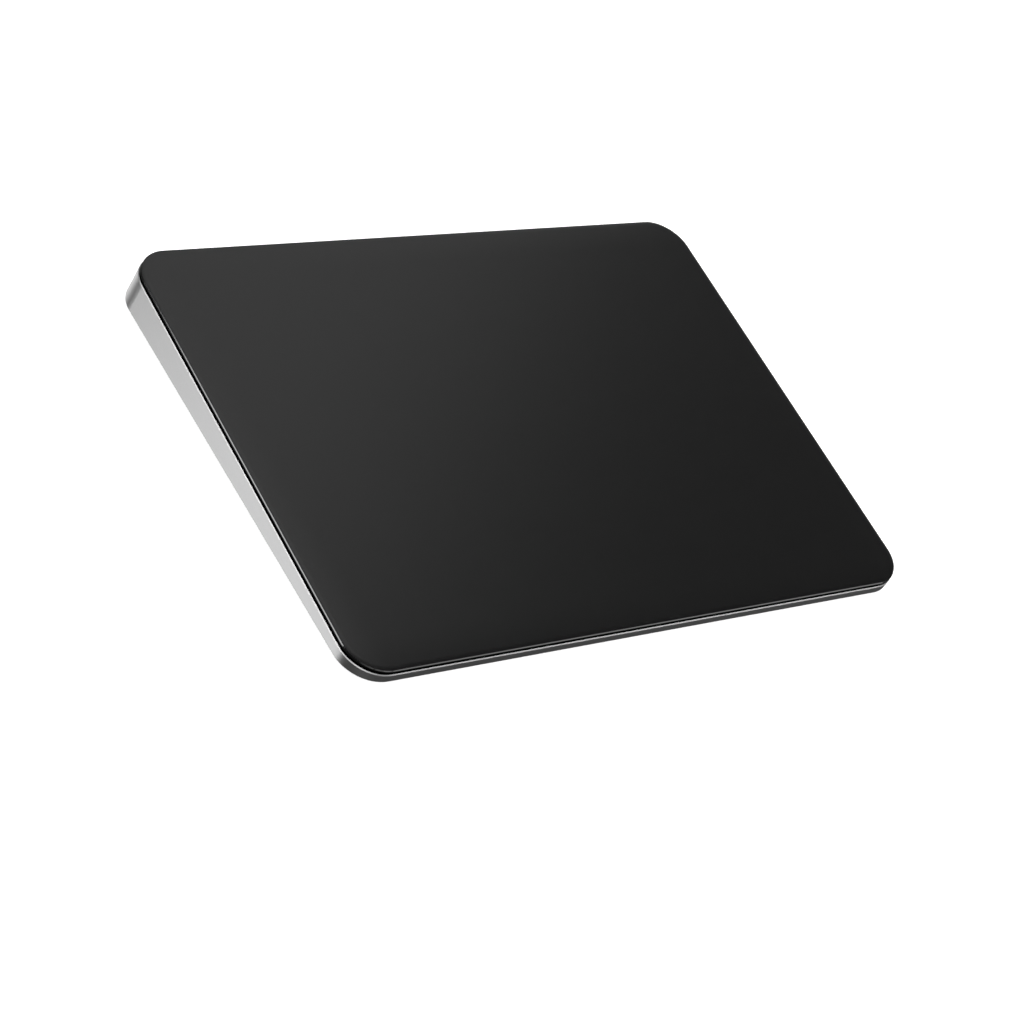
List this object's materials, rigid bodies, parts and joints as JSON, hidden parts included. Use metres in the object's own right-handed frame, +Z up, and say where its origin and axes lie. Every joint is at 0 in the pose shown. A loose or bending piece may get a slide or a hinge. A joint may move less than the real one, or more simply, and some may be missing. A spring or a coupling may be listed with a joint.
{
  "type": "trackpad",
  "caption": "Wedge-shaped desk trackpad: black glass touch plate floating on sprung arms over a silver aluminium tub, with a rear power slider and charging socket.",
  "frame": {"origin": "on the desk, below the middle of the body (middle of the box's bottom)", "axes": "+Z up, +Y to the thick rear end with the socket, +X to the user's right"},
  "size_m": [0.16, 0.1149, 0.0109],
  "materials": {
    "anodised_aluminium": "bead-blasted satin",
    "cover_aluminium": "matte",
    "foot_rubber": "matte",
    "black_glass": "fine satin",
    "circuit_board": "solder mask",
    "steel": "brushed",
    "soft_iron": "dull",
    "copper_winding": "enamelled",
    "gel": "soft",
    "gauge_film": "film",
    "chip_black": "moulded",
    "connector_cream": "moulded",
    "tinned_sheet": "tinned",
    "gold_plate": "plated",
    "cell_foil": "wrapped foil",
    "tape": "adhesive",
    "ribbon_film": "film",
    "slider_plastic": "moulded",
    "marker_green": "printed"
  },
  "bodies": {
    "housing": {"housing": "anodised_aluminium", "bottom_cover": "cover_aluminium", "feet": "foot_rubber", "flexures": "steel", "strain_gauges": "gauge_film", "flexure_screws": "steel", "haptic_core": "soft_iron", "haptic_coils": "copper_winding", "haptic_bracket": "steel", "haptic_screws": "steel", "haptic_lead": "ribbon_film", "battery_cell_left": "cell_foil", "battery_cell_right": "cell_foil", "battery_tape": "tape", "battery_board": "circuit_board", "cell_tabs": "tinned_sheet", "battery_lead": "ribbon_film", "logic_board": "circuit_board", "logic_chips": "chip_black", "shield_can": "tinned_sheet", "board_connectors": "connector_cream", "logic_board_screws": "steel", "antenna": "gold_plate", "touch_flex": "ribbon_film", "io_board": "circuit_board", "io_board_screws": "steel", "io_flex": "ribbon_film", "port_shell": "tinned_sheet", "port_tongue": "chip_black", "port_contacts": "gold_plate", "switch_body": "chip_black"},
    "suspension": {"gel_pads": "gel"},
    "touch_plate": {"touch_glass": "black_glass", "sensor_board": "circuit_board", "stiffener_plate": "steel", "touch_controller": "chip_black", "sensor_connector": "connector_cream", "armature": "soft_iron", "armature_screws": "steel"},
    "power_slider": {"power_slider": "slider_plastic", "switch_lever": "connector_cream", "switch_marker": "marker_green"}
  },
  "joints": [
    {"name": "plate_press", "type": "slide", "parent": "housing", "child": "suspension", "axis": [0, 0.0521, -0.9986], "range_m": [0, 0.0002], "stiffness_N_per_m": 15000, "springref_m": -0.0002, "deforming": ["flexures", "strain_gauges", "touch_flex"]},
    {"name": "plate_shift", "type": "slide", "parent": "suspension", "child": "touch_plate", "axis": [1, 0, 0], "range_m": [-0.00015, 0.00015], "stiffness_N_per_m": 20000},
    {"name": "power_switch", "type": "slide", "parent": "housing", "child": "power_slider", "axis": [1, 0, 0], "range_m": [0, 0.002]}
  ]
}
